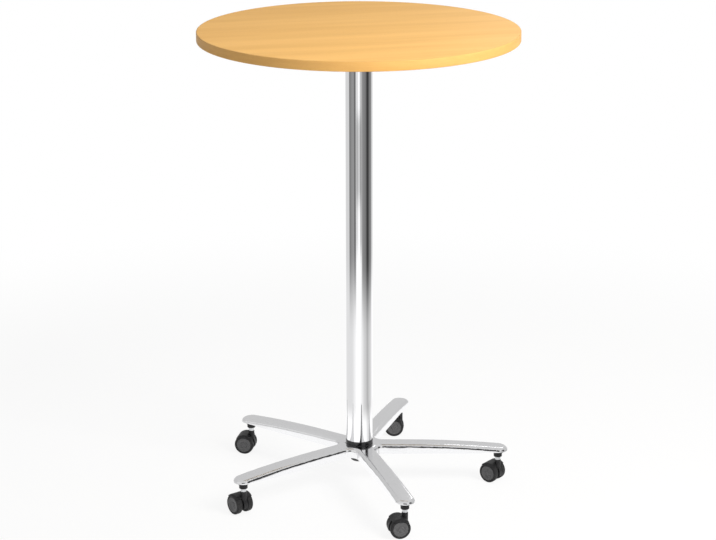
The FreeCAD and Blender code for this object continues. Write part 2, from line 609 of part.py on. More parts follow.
# ---------------------------------------------------------------- castor, stem on the Z axis
def castor_stem():
    """The steel pin: threaded end in the arm, neck, and the pin that the castor turns on."""
    pin_low = PIN_HOLE_FLOOR_Z + PIN_FLOOR_GAP
    stem_high = SOCKET_ROOF_Z - STEM_END_GAP
    return turned_profile([
        (0.0, pin_low),
        (PIN_RADIUS - PIN_CHAMFER, pin_low),
        (PIN_RADIUS, pin_low + PIN_CHAMFER),
        (PIN_RADIUS, NECK_BOTTOM_Z),
        (NECK_DIAMETER / 2.0, NECK_BOTTOM_Z),
        (NECK_DIAMETER / 2.0, SLEEVE_BOTTOM_Z),
        (STEM_RADIUS, SLEEVE_BOTTOM_Z),
        (STEM_RADIUS, stem_high - STEM_CHAMFER),
        (STEM_RADIUS - STEM_CHAMFER, stem_high),
        (0.0, stem_high),
    ])


def castor_sleeve():
    """The stepped cup around the socket boss, clamped between the neck and the boss."""
    stem_bore = STEM_RADIUS + THREAD_FIT
    boss_bore = SOCKET_BOSS_DIAMETER / 2.0 + SLEEVE_FIT
    top = SOCKET_PAD_Z - SLEEVE_TOP_PLAY
    step_z = top - SLEEVE_RIM_HEIGHT
    return turned_profile([
        (stem_bore, SLEEVE_BOTTOM_Z),
        (SLEEVE_DIAMETER / 2.0, SLEEVE_BOTTOM_Z),
        (SLEEVE_DIAMETER / 2.0, step_z),
        (SLEEVE_RIM_DIAMETER / 2.0, step_z),
        (SLEEVE_RIM_DIAMETER / 2.0, top),
        (boss_bore, top),
        (boss_bore, SOCKET_FACE_Z),
        (stem_bore, SOCKET_FACE_Z),
    ])


def rounded_drum(radius, half_width, corner):
    """A solid drum along Z, centred on the origin, with rounded rims."""
    drum = disc(radius, -half_width, half_width)
    rims = edges_at_level(drum, -half_width) + edges_at_level(drum, half_width)
    return drum.makeFillet(corner, rims)


def castor_hood():
    """Hood, centre web, axle boss and stem housing, moulded in one."""
    inner_corner = TYRE_ROUNDING + min(HOOD_CLEARANCE, HOOD_SIDE_CLEARANCE)
    largest_corner = inner_corner + 2.0 * min(HOOD_WALL, HOOD_SIDE_WALL)
    shell = rounded_drum(HOOD_OUTER_RADIUS, HOOD_OUTER_HALF, min(HOOD_CORNER_RADIUS, largest_corner))
    shell = shell.cut(rounded_drum(HOOD_INNER_RADIUS, HOOD_INNER_HALF, inner_corner))
    reach = HOOD_OUTER_RADIUS + OVERSHOOT
    skirt_z = AXLE_Z + HOOD_SKIRT_ABOVE_AXLE
    keep = block(TRAIL - reach, TRAIL + reach, HOOD_OUTER_HALF + OVERSHOOT, skirt_z, AXLE_Z + reach)
    shell = onto_axle(shell).common(keep)

    web_half = HOOD_WEB_THICKNESS / 2.0
    web_radius = (HOOD_INNER_RADIUS + HOOD_OUTER_RADIUS) / 2.0
    web = onto_axle(disc(web_radius, -web_half, web_half))
    web_low = AXLE_Z - HOOD_WEB_BELOW_AXLE
    web = web.common(block(TRAIL - reach, TRAIL + reach, web_half, web_low, AXLE_Z + reach))
    boss_half = WHEEL_GAP / 2.0 - HOOD_SIDE_PLAY
    boss = onto_axle(disc(HOOD_WEB_BELOW_AXLE, -boss_half, boss_half))

    housing_radius = HOUSING_DIAMETER / 2.0
    housing = disc(housing_radius, HOUSING_LOW_Z, HOUSING_TOP_Z)
    rims = edges_at_level(housing, HOUSING_LOW_Z) + edges_at_level(housing, HOUSING_TOP_Z)
    housing = housing.makeChamfer(HOUSING_EDGE_CHAMFER, rims)
    body = shell.fuse([web, boss, housing])
    body = body.cut(disc(PIN_RADIUS + PIN_FIT, PIN_HOLE_FLOOR_Z, HOUSING_TOP_Z + OVERSHOOT))
    body = body.cut(onto_axle(disc(AXLE_RADIUS + AXLE_FIT, -reach, reach)))
    return body.removeSplitter()


def axle_half_length():
    return TRACK / 2.0 - WHEEL_FACE_WALL - AXLE_END_CHAMFER


def castor_axle():
    half = axle_half_length()
    tip_radius = AXLE_RADIUS - AXLE_END_CHAMFER
    return onto_axle(turned_profile([
        (0.0, -half),
        (tip_radius, -half),
        (AXLE_RADIUS, -half + AXLE_END_CHAMFER),
        (AXLE_RADIUS, half - AXLE_END_CHAMFER),
        (tip_radius, half),
        (0.0, half),
    ]))


def wheel_hub(side):
    """The plastic wheel, bored from its inner face. side is +1 or -1 along the axle."""
    rim_radius = WHEEL_RADIUS - TYRE_THICKNESS - TYRE_FIT
    dish_radius = rim_radius - WHEEL_RIM_WIDTH
    inner = WHEEL_GAP / 2.0
    outer = TRACK / 2.0
    pocket_high = inner + WHEEL_POCKET_DEPTH
    bore = AXLE_RADIUS + AXLE_FIT
    bore_high = outer - WHEEL_FACE_WALL
    profile = [
        (bore, inner),
        (WHEEL_BOSS_RADIUS, inner),
        (WHEEL_BOSS_RADIUS, pocket_high),
        (dish_radius, pocket_high),
        (dish_radius, inner),
        (rim_radius, inner),
        (rim_radius, outer - WHEEL_DISH_DEPTH / 2.0),
        (rim_radius - WHEEL_DISH_DEPTH / 2.0, outer),
        (dish_radius, outer),
        (WHEEL_BOSS_RADIUS + WHEEL_DISH_DEPTH, outer - WHEEL_DISH_DEPTH),
        (WHEEL_BOSS_RADIUS, outer),
        (0.0, outer),
        (0.0, bore_high),
        (bore, bore_high),
    ]
    return onto_axle(turned_profile([(radius, side * z) for radius, z in profile]))


def wheel_tyre(side):
    """The softer tread around a wheel."""
    middle = side * (TRACK / 2.0 - WHEEL_WIDTH / 2.0)
    half = WHEEL_WIDTH / 2.0
    body = rounded_drum(WHEEL_RADIUS, half, TYRE_ROUNDING)
    body = body.cut(disc(WHEEL_RADIUS - TYRE_THICKNESS, -half - OVERSHOOT, half + OVERSHOOT))
    return onto_axle(shifted(body, 0, 0, middle))


def placed_castor(shape, index):
    """A castor piece turned to its heading and set under the tip of an arm."""
    arm_angle = math.radians(index * ARM_STEP)
    x = STEM_CIRCLE_RADIUS * math.cos(arm_angle)
    y = STEM_CIRCLE_RADIUS * math.sin(arm_angle)
    return shifted(turned(shape, CASTOR_HEADINGS[index]), x, y, 0)


# ---------------------------------------------------------------- build
def build():
    os.makedirs("parts", exist_ok=True)
    export("tabletop_core", tabletop_core())
    export("top_laminate", top_laminate())
    export("underside_laminate", underside_laminate())
    export("edge_band", edge_band())
    export("top_spider", top_spider())
    export("spider_screws", spider_screws())
    export("upper_washer", washer(UPPER_WASHER_Z))
    export("upper_nut", nut(UPPER_NUT_Z))
    export("tie_rod", tie_rod())
    export("column_tube", column_tube())
    export("foot_collar", foot_collar())
    export("base_star", base_star())
    export("lower_washer", washer(LOWER_WASHER_Z))
    export("lower_nut", nut(LOWER_NUT_Z))
    export("hub_cap", hub_cap())
    castor_pieces = {
        "stem": castor_stem(),
        "sleeve": castor_sleeve(),
        "hood": castor_hood(),
        "axle": castor_axle(),
        "left_wheel": wheel_hub(1),
        "left_tyre": wheel_tyre(1),
        "right_wheel": wheel_hub(-1),
        "right_tyre": wheel_tyre(-1),
    }
    for index in range(BASE_ARMS):
        for name, shape in castor_pieces.items():
            export("castor_%d_%s" % (index + 1, name), placed_castor(shape, index))


build()
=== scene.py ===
"""Standing meeting table: finishes, lathe-turned and cast pieces, studio light and camera.

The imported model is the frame. Everything is in metres, +Z up, with the origin on the floor under
the column. The camera stands on the -Y side.
"""
import logging
import math
from dataclasses import dataclass
from enum import Enum
from typing import Sequence

import bmesh
import bpy
from mathutils import Matrix, Vector


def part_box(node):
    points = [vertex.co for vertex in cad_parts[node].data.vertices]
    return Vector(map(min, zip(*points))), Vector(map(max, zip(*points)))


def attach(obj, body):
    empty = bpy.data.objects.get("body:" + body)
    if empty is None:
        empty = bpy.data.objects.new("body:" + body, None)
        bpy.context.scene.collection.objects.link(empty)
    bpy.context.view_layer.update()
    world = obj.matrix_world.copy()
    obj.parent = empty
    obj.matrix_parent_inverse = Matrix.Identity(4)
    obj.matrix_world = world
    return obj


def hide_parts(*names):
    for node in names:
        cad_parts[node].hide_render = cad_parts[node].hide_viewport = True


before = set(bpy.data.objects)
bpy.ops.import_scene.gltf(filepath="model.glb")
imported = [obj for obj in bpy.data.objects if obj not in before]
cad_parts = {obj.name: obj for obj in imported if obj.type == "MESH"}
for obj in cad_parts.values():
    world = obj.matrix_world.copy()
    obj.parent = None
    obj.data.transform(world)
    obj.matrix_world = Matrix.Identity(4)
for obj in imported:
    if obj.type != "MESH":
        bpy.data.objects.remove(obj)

LOG = logging.getLogger("standing_table")

Triple = tuple[float, float, float]
Colour = Triple
Span = tuple[float, float]
Profile = Sequence[Triple]
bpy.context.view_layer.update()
ARM_COUNT = 5
MM = 0.001
WHITE = (1.0, 1.0, 1.0)
MIX_FACTOR, MIX_FIRST, MIX_SECOND, MIX_RESULT = 0, 6, 7, 2  # the Mix node's sockets for colours
LATHE_MERGE = 0.001 * MM
CAD_MERGE = 0.002 * MM
FLAT_ANGLE = 0.5  # degrees
EDGE_SEGMENTS = 2


class Side(Enum):
    """Which wheel of a castor, with its direction along the axle."""

    LEFT = 1
    RIGHT = -1

    @property
    def word(self) -> str:
        """The side's name as the frame spells it."""
        return self.name.lower()


class GrainLayout(Enum):
    """How a wood pattern is wrapped on a piece."""

    FLAT = "flat"
    AROUND_EDGE = "around_edge"


# ---------------------------------------------------------------- shader graph
@dataclass(frozen=True)
class Pattern:
    """A noise pattern.

    The scale is in cells per metre, one value for all axes or one for each. Detail is the number of finer
    layers, and roughness is how strong they are.
    """

    scale: float | Triple
    detail: float = 4.0
    roughness: float = 0.55


class Graph:
    """A short way to write the node graph of one material, world or floor."""

    def __init__(self, tree: bpy.types.NodeTree) -> None:
        """Starts from an empty tree.

        Args:
            tree: The node tree to fill.
        """
        self.tree = tree
        tree.nodes.clear()

    def add(self, kind: str, **values: object) -> bpy.types.Node:
        """Adds one shader node.

        Args:
            kind: The node type without its ShaderNode prefix.
            **values: Node attributes, or socket values with _ for a space in the socket's name.

        Returns:
            The new node.
        """
        node = self.tree.nodes.new("ShaderNode" + kind)
        for name, value in values.items():
            socket = name.replace("_", " ")
            if socket in node.inputs and not hasattr(node, name):
                self.feed(node.inputs[socket], value)
            else:
                setattr(node, name, value)
        return node

    def feed(self, socket: bpy.types.NodeSocket, value: object) -> None:
        """Sets a socket's value, or links it.

        Args:
            socket: The input socket.
            value: A number, a colour, or the output socket to link from.
        """
        if isinstance(value, bpy.types.NodeSocket):
            self.tree.links.new(value, socket)
            return
        if socket.type == "RGBA" and len(value) == 3:
            value = (*value, 1.0)
        socket.default_value = value

    def calc(self, operation: str, first: object, second: object = 0.0,
             clamp: bool = False) -> bpy.types.NodeSocket:
        """Adds a Math node.

        Args:
            operation: The Math node's operation.
            first: First number or socket.
            second: Second number or socket.
            clamp: Whether the result stays between 0 and 1.

        Returns:
            The result socket.
        """
        node = self.add("Math", operation=operation, use_clamp=clamp)
        self.feed(node.inputs[0], first)
        self.feed(node.inputs[1], second)
        return node.outputs[0]

    def smooth(self, value: object, low: float, high: float, start: float = 0.0,
               end: float = 1.0) -> bpy.types.NodeSocket:
        """Adds a smooth step.

        Args:
            value: The socket to map.
            low: Where the step starts.
            high: Where the step ends.
            start: The result before the step.
            end: The result after the step.

        Returns:
            The result socket.
        """
        node = self.add("MapRange", interpolation_type="SMOOTHSTEP")
        settings = {"Value": value, "From Min": low, "From Max": high, "To Min": start, "To Max": end}
        for name, given in settings.items():
            self.feed(node.inputs[name], given)
        return node.outputs[0]

    def blend(self, factor: object, first: object, second: object) -> bpy.types.NodeSocket:
        """Mixes two colours.

        Args:
            factor: Number or socket, 0 for the first colour and 1 for the second.
            first: First colour or socket.
            second: Second colour or socket.

        Returns:
            The mixed colour's socket.
        """
        node = self.add("Mix", data_type="RGBA")
        self.feed(node.inputs[MIX_FACTOR], factor)
        self.feed(node.inputs[MIX_FIRST], first)
        self.feed(node.inputs[MIX_SECOND], second)
        return node.outputs[MIX_RESULT]

    def mix_shaders(self, factor: object, first: bpy.types.Node, second: bpy.types.Node) -> bpy.types.Node:
        """Mixes two shaders.

        Args:
            factor: Number or socket, 0 for the first shader and 1 for the second.
            first: First shader node.
            second: Second shader node.

        Returns:
            The mixing node.
        """
        node = self.add("MixShader")
        for socket, given in zip(node.inputs, (factor, first.outputs[0], second.outputs[0])):
            self.feed(socket, given)
        return node

    def noise(self, vector: object, pattern: Pattern) -> bpy.types.NodeSocket:
        """Adds a noise texture.

        Args:
            vector: The coordinates' socket.
            pattern: The noise pattern.

        Returns:
            The noise value's socket, about 0.5 on average.
        """
        scale = pattern.scale
        if isinstance(scale, tuple):
            vector, scale = self.stretch(vector, scale), 1.0
        node = self.add("TexNoise", Scale=scale, Detail=pattern.detail, Roughness=pattern.roughness)
        self.feed(node.inputs["Vector"], vector)
        return node.outputs[0]

    def turn(self, vector: object, angle: float) -> bpy.types.NodeSocket:
        """Turns coordinates about Z, so that a pattern on them is turned by the angle.

        Args:
            vector: The coordinates' socket.
            angle: The pattern's angle in degrees.

        Returns:
            The new coordinates' socket.
        """
        node = self.add("Mapping", vector_type="POINT")
        self.feed(node.inputs["Vector"], vector)
        node.inputs["Rotation"].default_value = (0.0, 0.0, math.radians(-angle))
        return node.outputs[0]

    def stretch(self, vector: object, scale: Triple) -> bpy.types.NodeSocket:
        """Scales coordinates.

        Args:
            vector: The coordinates' socket.
            scale: Factor along each axis.

        Returns:
            The new coordinates' socket.
        """
        node = self.add("VectorMath", operation="MULTIPLY")
        self.feed(node.inputs[0], vector)
        node.inputs[1].default_value = scale
        return node.outputs[0]

    def split(self, vector: object) -> bpy.types.Node:
        """Splits coordinates.

        Args:
            vector: The coordinates' socket.

        Returns:
            The node, with outputs X, Y and Z.
        """
        node = self.add("SeparateXYZ")
        self.feed(node.inputs[0], vector)
        return node

    def compass(self, parts: bpy.types.Node) -> bpy.types.NodeSocket:
        """The angle about Z of split coordinates.

        Args:
            parts: The node that has split them.

        Returns:
            The angle's socket in radians: 0 towards -Y, growing towards +X.
        """
        toward_camera = self.calc("MULTIPLY", parts.outputs["Y"], -1.0)
        return self.calc("ARCTAN2", parts.outputs["X"], toward_camera)

    def bump(self, height: object, distance: float, strength: float = 1.0,
             under: object = None) -> bpy.types.NodeSocket:
        """Adds a bump.

        Args:
            height: Height socket, 0 to 1.
            distance: The height of 1, in metres.
            strength: How much of it is applied.
            under: A normal socket that this bump is laid over.

        Returns:
            The normal socket.
        """
        node = self.add("Bump", Strength=strength, Distance=distance)
        self.feed(node.inputs["Height"], height)
        if under is not None:
            self.feed(node.inputs["Normal"], under)
        return node.outputs[0]

    def object_coordinates(self) -> bpy.types.NodeSocket:
        """The piece's own coordinates, in metres."""
        return self.add("TexCoord").outputs["Object"]

    def surface(self, shader: bpy.types.Node, output: str = "OutputMaterial") -> None:
        """Ends the graph.

        Args:
            shader: The last shader node.
            output: The output node's type without its prefix.
        """
        end = self.add(output)
        self.tree.links.new(shader.outputs[0], end.inputs["Surface"])


# ---------------------------------------------------------------- finishes
@dataclass(frozen=True)
class Finish:
    """A surface finish. Each kind writes its own shader graph."""

    name: str

    def material(self) -> bpy.types.Material:
        """The finish's material, made on first use.

        Returns:
            The material.
        """
        title = self.name + "_finish"
        made = bpy.data.materials.get(title)
        if made is not None:
            return made
        made = bpy.data.materials.new(title)
        made.use_nodes = True
        graph = Graph(made.node_tree)
        graph.surface(self.shade(graph))
        return made

    def shade(self, graph: Graph) -> bpy.types.Node:
        """Writes the finish's nodes.

        Args:
            graph: The graph to fill.

        Returns:
            The shader node to show.
        """
        raise NotImplementedError


@dataclass(frozen=True)
class BeechLaminate(Finish):
    """Satin beech-pattern laminate: soft broad streaks, fine fibre and short ray flecks."""

    light: Colour = (0.90, 0.52, 0.148)
    dark: Colour = (0.82, 0.45, 0.114)
    fleck: Colour = (0.50, 0.24, 0.06)
    grain_angle: float = 14.0
    layout: GrainLayout = GrainLayout.FLAT
    wrap_radius: float = 0.35
    roughness: Span = (0.46, 0.55)
    roughness_edges: Span = (0.2, 0.8)
    specular: float = 0.22
    wander: Pattern = Pattern((1.5, 3.0, 3.0), 2.0)
    wander_reach: float = 0.05
    streaks: Pattern = Pattern((1.6, 26.0, 26.0), 3.0, 0.5)
    streak_share: float = 0.75
    tone_edges: Span = (0.34, 0.66)
    fibres: Pattern = Pattern((14.0, 900.0, 900.0), 2.0, 0.6)
    fibre_height: float = 0.03 * MM
    fibre_strength: float = 0.35
    dashes: Pattern = Pattern((260.0, 2100.0, 2100.0), 1.0, 0.4)
    dash_edges: Span = (0.60, 0.70)
    patches: Pattern = Pattern((9.0, 30.0, 30.0), 2.0)
    patch_edges: Span = (0.3, 0.7)
    fleck_cover: Span = (0.12, 0.42)

    def grain_coordinates(self, graph: Graph) -> bpy.types.NodeSocket:
        """Coordinates whose X runs along the grain.

        Args:
            graph: The graph to fill.

        Returns:
            The coordinates' socket.
        """
        place = graph.object_coordinates()
        if self.layout is GrainLayout.FLAT:
            return graph.turn(place, self.grain_angle)
        parts = graph.split(place)
        around = graph.add("CombineXYZ")
        graph.feed(around.inputs["X"], graph.calc("MULTIPLY", graph.compass(parts), self.wrap_radius))
        graph.feed(around.inputs["Y"], parts.outputs["Z"])
        return around.outputs[0]

    def bent_grain(self, graph: Graph) -> bpy.types.NodeSocket:
        """The grain's coordinates with a slow wander across it.

        Args:
            graph: The graph to fill.

        Returns:
            The coordinates' socket.
        """
        along = self.grain_coordinates(graph)
        sideways = graph.calc("MULTIPLY", graph.noise(along, self.wander), self.wander_reach)
        shift = graph.add("CombineXYZ")
        graph.feed(shift.inputs["Y"], sideways)
        bent = graph.add("VectorMath", operation="ADD")
        graph.feed(bent.inputs[0], along)
        graph.feed(bent.inputs[1], shift.outputs[0])
        return bent.outputs[0]

    def shade(self, graph: Graph) -> bpy.types.Node:
        """See Finish.shade."""
        flow = self.bent_grain(graph)
        fibre = graph.noise(flow, self.fibres)
        broad = graph.calc("MULTIPLY", graph.noise(flow, self.streaks), self.streak_share)
        fine = graph.calc("MULTIPLY", fibre, 1.0 - self.streak_share)
        tone = graph.smooth(graph.calc("ADD", broad, fine), *self.tone_edges)
        ground = graph.blend(tone, self.dark, self.light)
        flecks = graph.smooth(graph.noise(flow, self.dashes), *self.dash_edges)
        cover = graph.smooth(graph.noise(flow, self.patches), *self.patch_edges, *self.fleck_cover)
        colour = graph.blend(graph.calc("MULTIPLY", flecks, cover), ground, self.fleck)
        rough = graph.smooth(fibre, *self.roughness_edges, *self.roughness)
        relief = graph.bump(fibre, self.fibre_height, self.fibre_strength)
        return graph.add("BsdfPrincipled", Base_Color=colour, Roughness=rough, Normal=relief,
                         Specular_IOR_Level=self.specular)


@dataclass(frozen=True)
class BoardFinish(Finish):
    """Plain board: chips for the core, a faint mottle for a backing sheet."""

    light: Colour = (0.56, 0.40, 0.24)
    dark: Colour = (0.30, 0.19, 0.10)
    chip_size: float = 3.0 * MM
    contrast: float = 0.8
    roughness: float = 0.75
    roughness_swing: float = 0.08
    roughness_edges: Span = (0.2, 0.8)
    chip_height: float = 0.1 * MM
    chip_strength: float = 0.3
    clouds: Pattern = Pattern(22.0, 5.0)
    cloud_edges: Span = (0.3, 0.7)

    def shade(self, graph: Graph) -> bpy.types.Node:
        """See Finish.shade."""
        place = graph.object_coordinates()
        cells = graph.add("TexVoronoi", Scale=1.0 / self.chip_size, Randomness=1.0)
        graph.feed(cells.inputs["Vector"], place)
        tint = graph.add("SeparateColor")
        graph.feed(tint.inputs[0], cells.outputs["Color"])
        cloud = graph.noise(place, self.clouds)
        chips = graph.calc("MULTIPLY", tint.outputs[0], self.contrast)
        haze = graph.smooth(cloud, *self.cloud_edges, 0.0, 1.0 - self.contrast)
        colour = graph.blend(graph.calc("ADD", chips, haze, clamp=True), self.light, self.dark)
        relief = graph.bump(cells.outputs["Distance"], self.chip_height, self.chip_strength)
        rough = graph.smooth(cloud, *self.roughness_edges, self.roughness - self.roughness_swing,
                             self.roughness + self.roughness_swing)
        return graph.add("BsdfPrincipled", Base_Color=colour, Roughness=rough, Normal=relief)


@dataclass(frozen=True)
class BareMetal(Finish):
    """Chrome, polished casting or zinc: a metal with wavy polish, fine scratches and smudges."""

    colour: Colour
    roughness: float
    smudge: float
    wave_height: float
    wave_scale: float
    scratch_height: float = 0.0
    scratch_scale: Triple = (900.0, 900.0, 60.0)
    mottle: float = 0.0
    wave_layers: Span = (2.0, 0.4)
    scratch_layers: Span = (2.0, 0.6)
    smudges: Pattern = Pattern(38.0, 5.0, 0.6)
    smudge_edges: Span = (0.3, 0.75)
    blotches: Pattern = Pattern(240.0, 3.0, 0.5)
    blotch_edges: Span = (0.35, 0.65)

    def shade(self, graph: Graph) -> bpy.types.Node:
        """See Finish.shade."""
        place = graph.object_coordinates()
        rough = graph.smooth(graph.noise(place, self.smudges), *self.smudge_edges,
                             self.roughness, self.roughness + self.smudge)
        waves = graph.noise(place, Pattern(self.wave_scale, *self.wave_layers))
        scratches = graph.noise(place, Pattern(self.scratch_scale, *self.scratch_layers))
        relief = graph.bump(scratches, self.scratch_height, under=graph.bump(waves, self.wave_height))
        dull = tuple(channel * (1.0 - self.mottle) for channel in self.colour)
        blotch = graph.smooth(graph.noise(place, self.blotches), *self.blotch_edges)
        colour = graph.blend(blotch, self.colour, dull)
        return graph.add("BsdfPrincipled", Base_Color=colour, Metallic=1.0, Roughness=rough, Normal=relief)


@dataclass(frozen=True)
class Moulding(Finish):
    """Plastic, rubber or powder coat: a tint with a fine mould grain, scuffs and dust in its gloss."""

    colour: Colour
    scuffed: Colour
    roughness: float
    roughness_swing: float
    grain_size: float
    grain_height: float
    specular: float = 0.5
    grain_layers: Span = (2.0, 0.5)
    grain_strength: float = 0.8
    scuffs: Pattern = Pattern(160.0, 5.0, 0.65)
    scuff_edges: Span = (0.5, 0.75)
    scuff_cover: Span = (0.15, 0.7)
    clouds: Pattern = Pattern(30.0, 3.0, 0.5)
    cloud_edges: Span = (0.35, 0.65)
    roughness_edges: Span = (0.25, 0.75)

    def shade(self, graph: Graph) -> bpy.types.Node:
        """See Finish.shade."""
        place = graph.object_coordinates()
        grain = graph.noise(place, Pattern(1.0 / self.grain_size, *self.grain_layers))
        scuffs = graph.smooth(graph.noise(place, self.scuffs), *self.scuff_edges)
        cloud = graph.noise(place, self.clouds)
        worn = graph.calc("MULTIPLY", scuffs, graph.smooth(cloud, *self.cloud_edges, *self.scuff_cover))
        colour = graph.blend(worn, self.colour, self.scuffed)
        rough = graph.smooth(cloud, *self.roughness_edges, self.roughness,
                             self.roughness + self.roughness_swing)
        relief = graph.bump(grain, self.grain_height, self.grain_strength)
        return graph.add("BsdfPrincipled", Base_Color=colour, Roughness=rough, Normal=relief,
                         Specular_IOR_Level=self.specular)


BEECH_FACE = BeechLaminate("beech_laminate")
# The edge band is the face's beech laminate with darker colours: painted shade for the upright edge, which gets
# less light than the top.
SHADED_BEECH_EDGE = BeechLaminate("beech_edge", (0.74, 0.43, 0.14), (0.66, 0.36, 0.105),
                           layout=GrainLayout.AROUND_EDGE)
CHIPBOARD = BoardFinish("particle_board")
BACKING = BoardFinish("backing_laminate", (0.66, 0.60, 0.52), (0.56, 0.51, 0.44), chip_size=0.9 * MM,
                      contrast=0.35, roughness=0.6)
CHROME = BareMetal("chromed_steel", (0.92, 0.92, 0.93), roughness=0.035, smudge=0.03, wave_height=0.02 * MM,
                   wave_scale=25.0)
CASTING = BareMetal("polished_aluminium", (0.84, 0.84, 0.85), roughness=0.11, smudge=0.05,
                    wave_height=0.04 * MM, wave_scale=60.0, scratch_height=0.002 * MM,
                    scratch_scale=(700.0, 700.0, 700.0), mottle=0.03)
ZINC = BareMetal("zinc_steel", (0.66, 0.67, 0.68), roughness=0.28, smudge=0.1, wave_height=0.02 * MM,
                 wave_scale=300.0, scratch_height=0.004 * MM, scratch_scale=(900.0, 900.0, 90.0), mottle=0.15)
POWDER_COAT = Moulding("black_painted_steel", (0.018, 0.018, 0.019), (0.04, 0.04, 0.04), roughness=0.42,
                       roughness_swing=0.08, grain_size=0.9 * MM, grain_height=0.04 * MM)
GLOSS_BLACK = Moulding("black_gloss_plastic", (0.005, 0.005, 0.006), (0.012, 0.012, 0.012), roughness=0.1,
                       roughness_swing=0.06, grain_size=0.6 * MM, grain_height=0.001 * MM, specular=0.65)
NYLON = Moulding("black_nylon", (0.014, 0.014, 0.015), (0.035, 0.035, 0.037), roughness=0.42,
                 roughness_swing=0.1, grain_size=0.3 * MM, grain_height=0.008 * MM, specular=0.28)
WHEEL_NYLON = Moulding("wheel_nylon", (0.09, 0.09, 0.093), (0.13, 0.13, 0.132), roughness=0.45,
                       roughness_swing=0.1, grain_size=0.3 * MM, grain_height=0.01 * MM, specular=0.35)
TREAD = Moulding("tyre_tread", (0.022, 0.022, 0.023), (0.06, 0.059, 0.057), roughness=0.6,
                 roughness_swing=0.12, grain_size=0.2 * MM, grain_height=0.02 * MM, specular=0.25)


# ---------------------------------------------------------------- mesh helpers
def smooth_normals(mesh: bpy.types.Mesh, sharp_angle: float) -> None:
    """Shades a mesh smooth apart from its sharp edges.

    Args:
        mesh: The mesh.
        sharp_angle: Edges that turn by more than this many degrees stay sharp.
    """
    mesh.polygons.foreach_set("use_smooth", [True] * len(mesh.polygons))
    mesh.set_sharp_from_angle(angle=math.radians(sharp_angle))


def piece_from(work: bmesh.types.BMesh, name: str, finish: Finish, sharp_angle: float = 32.0,
               edge_rounding: float = 0.0) -> bpy.types.Object:
    """Turns a finished bmesh into a dressed object at the origin.

    Args:
        work: The bmesh. It is freed.
        name: The piece's name.
        finish: Its finish.
        sharp_angle: Edges that turn by more than this many degrees stay sharp.
        edge_rounding: Width of the rounding on edges that turn by more than that, or 0 for none.

    Returns:
        The new object.
    """
    mesh = bpy.data.meshes.new(name)
    work.to_mesh(mesh)
    work.free()
    smooth_normals(mesh, sharp_angle)
    piece = bpy.data.objects.new(name, mesh)
    bpy.context.scene.collection.objects.link(piece)
    piece.data.materials.append(finish.material())
    if edge_rounding > 0.0:
        rounding = piece.modifiers.new("broken_edges", "BEVEL")
        rounding.width = edge_rounding
        rounding.segments = EDGE_SEGMENTS
        rounding.limit_method = "ANGLE"
        rounding.angle_limit = math.radians(sharp_angle)
    weighted = piece.modifiers.new("even_flats", "WEIGHTED_NORMAL")
    weighted.keep_sharp = True
    return piece


def fit_piece(piece: bpy.types.Object, body: str, node: str) -> None:
    """Lets a piece ride on a body and stand for its CAD node.

    Args:
        piece: The new piece.
        body: The CAD body that it moves with.
        node: The CAD node that it replaces.
    """
    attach(piece, body)
    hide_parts(node)
    LOG.info("%s rides on %s and stands for %s", piece.name, body, node)


def dress(node: str, finish: Finish) -> None:
    """Gives a CAD node its finish.

    Args:
        node: The CAD node's name.
        finish: The finish.
    """
    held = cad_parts[node].data
    held.materials.clear()
    held.materials.append(finish.material())
    LOG.info("%s is dressed in %s", node, finish.name)


def lathe(profile: Profile, steps: int = 96, arc_steps: int = 4) -> bmesh.types.BMesh:
    """Rounds the corners of a closed profile and spins it about Z.

    Args:
        profile: (radius, height, rounding) corners in order. The last joins the first.
        steps: Segments around.
        arc_steps: Segments across a rounding.

    Returns:
        The turned bmesh, with its axis along Z.
    """
    work = bmesh.new()
    corners = [work.verts.new((radius, 0.0, height)) for radius, height, _ in profile]
    for first, second in zip(corners, corners[1:] + corners[:1]):
        if max(first.co.x, second.co.x) > 0.0:
            work.edges.new((first, second))
    for corner, (_, _, rounding) in zip(corners, profile):
        if rounding > 0.0:
            bmesh.ops.bevel(work, geom=[corner], offset=rounding, offset_type="OFFSET", affect="VERTICES",
                            segments=arc_steps, profile=0.5, material=-1, clamp_overlap=True)
    bmesh.ops.spin(work, geom=work.verts[:] + work.edges[:], cent=(0.0, 0.0, 0.0), axis=(0.0, 0.0, 1.0),
                   angle=math.tau, steps=steps, use_merge=True, use_normal_flip=False)
    bmesh.ops.remove_doubles(work, verts=work.verts[:], dist=LATHE_MERGE)
    bmesh.ops.recalc_face_normals(work, faces=work.faces[:])
    return work


def placed(work: bmesh.types.BMesh, place: Matrix) -> bmesh.types.BMesh:
    """Moves a bmesh to its place in the object's frame.

    Args:
        work: The bmesh, built about the origin.
        place: Its place.

    Returns:
        The same bmesh.
    """
    bmesh.ops.transform(work, matrix=place, verts=work.verts[:])
    return work


def merged_copy(node: str) -> bmesh.types.BMesh:
    """A copy of a CAD node's mesh with its loose triangles joined and its flats cleaned.

    Args:
        node: The CAD node's name.

    Returns:
        The joined bmesh.
    """
    work = bmesh.new()
    work.from_mesh(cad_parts[node].data)
    bmesh.ops.remove_doubles(work, verts=work.verts[:], dist=CAD_MERGE)
    bmesh.ops.dissolve_limit(work, angle_limit=math.radians(FLAT_ANGLE), verts=work.verts[:],
                             edges=work.edges[:])
    return work


